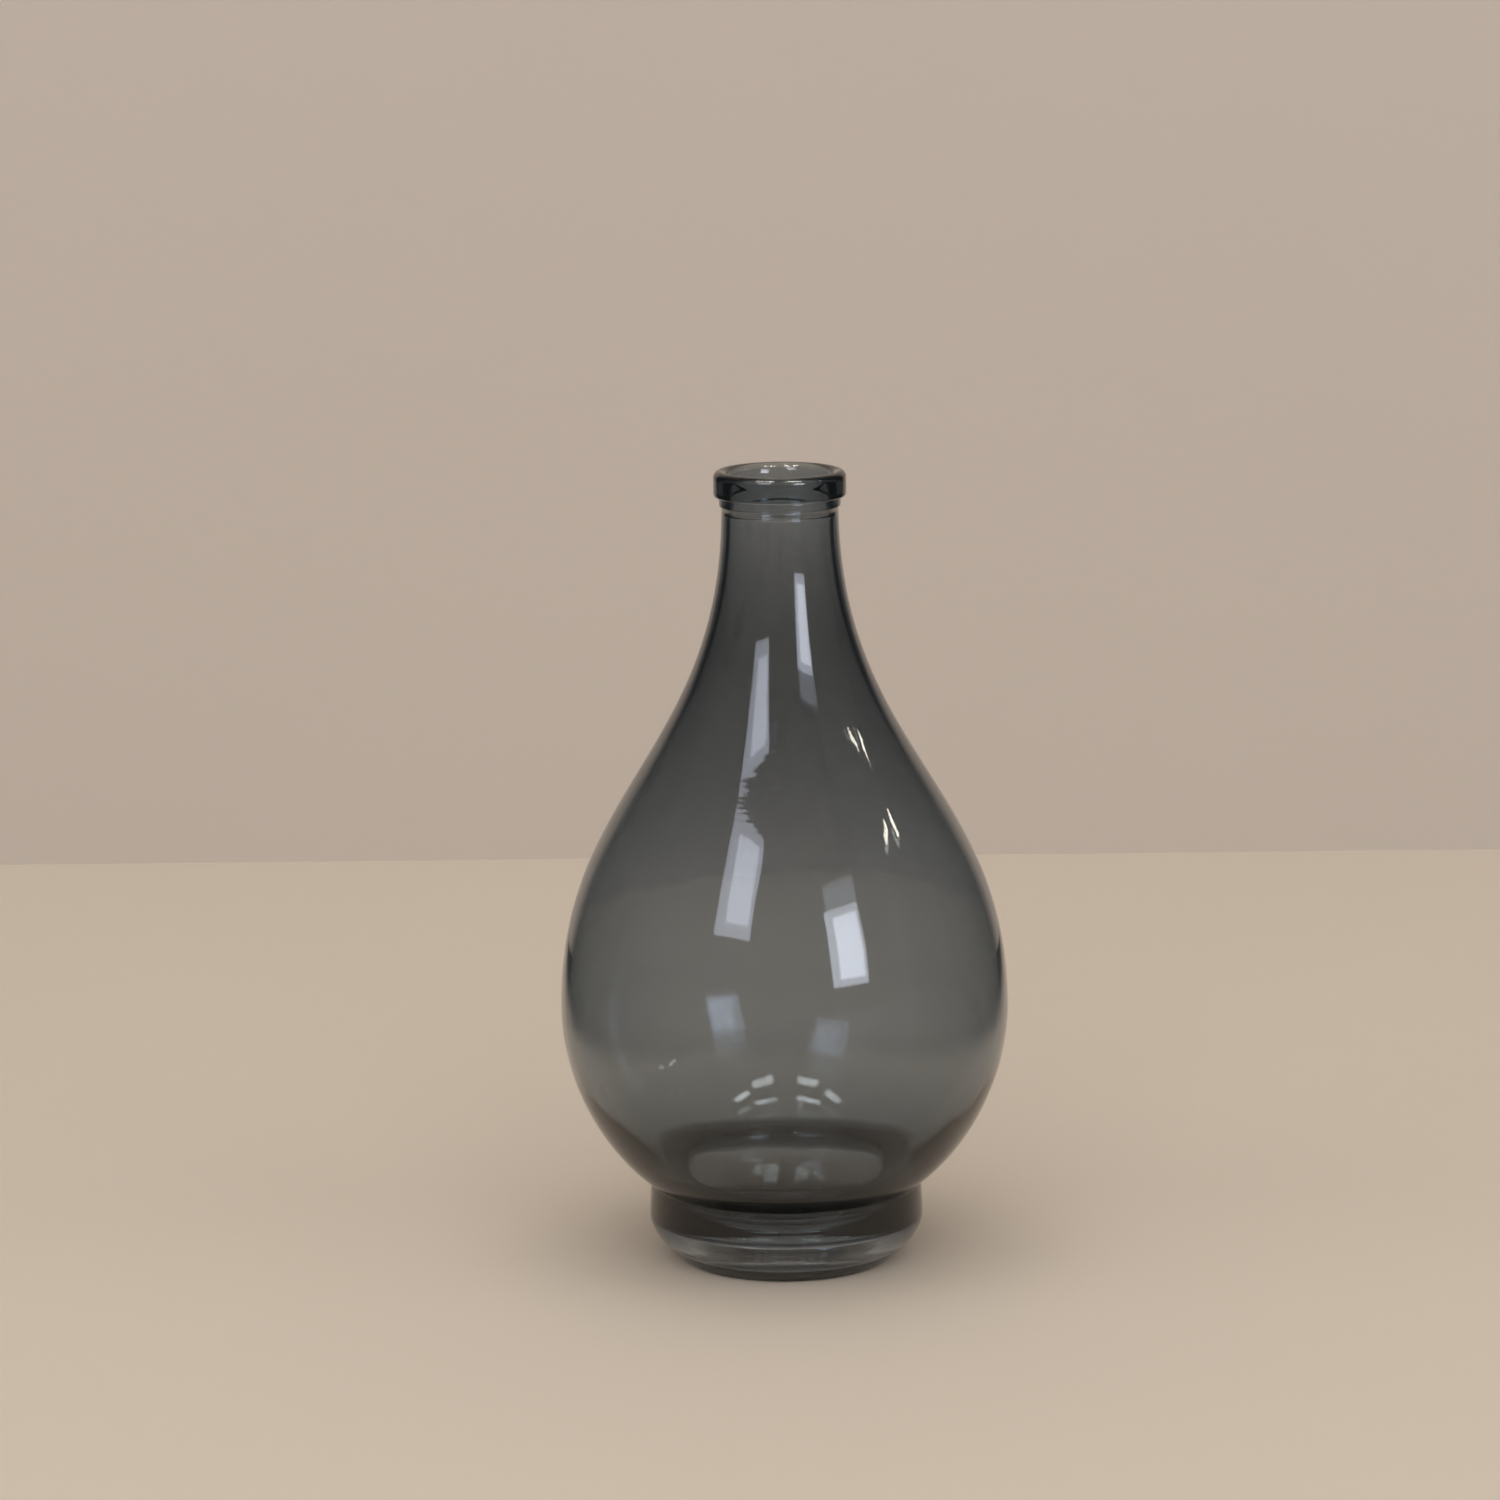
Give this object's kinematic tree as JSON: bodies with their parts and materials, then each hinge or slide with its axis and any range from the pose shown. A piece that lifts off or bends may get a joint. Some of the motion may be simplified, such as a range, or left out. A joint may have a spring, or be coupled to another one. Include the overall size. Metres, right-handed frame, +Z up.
{
  "type": "bud vase",
  "caption": "Footed teardrop bud vase of clear smoke-grey glass, with a rounded foot, a short neck and a thick collar round an open mouth that takes a stem or a small posy.",
  "frame": {"origin": "centre of the base, on the plane that the vase stands on", "axes": "+Z up along the vase's axis, from the foot to the mouth"},
  "size_m": [0.101, 0.101, 0.18],
  "materials": {
    "smoke_glass": "clear smoke-grey glass, fire-polished, slightly wavy"
  },
  "bodies": {
    "root": {"foot": "smoke_glass", "belly": "smoke_glass", "shoulder": "smoke_glass", "neck": "smoke_glass", "bead": "smoke_glass", "collar": "smoke_glass"}
  },
  "joints": []
}
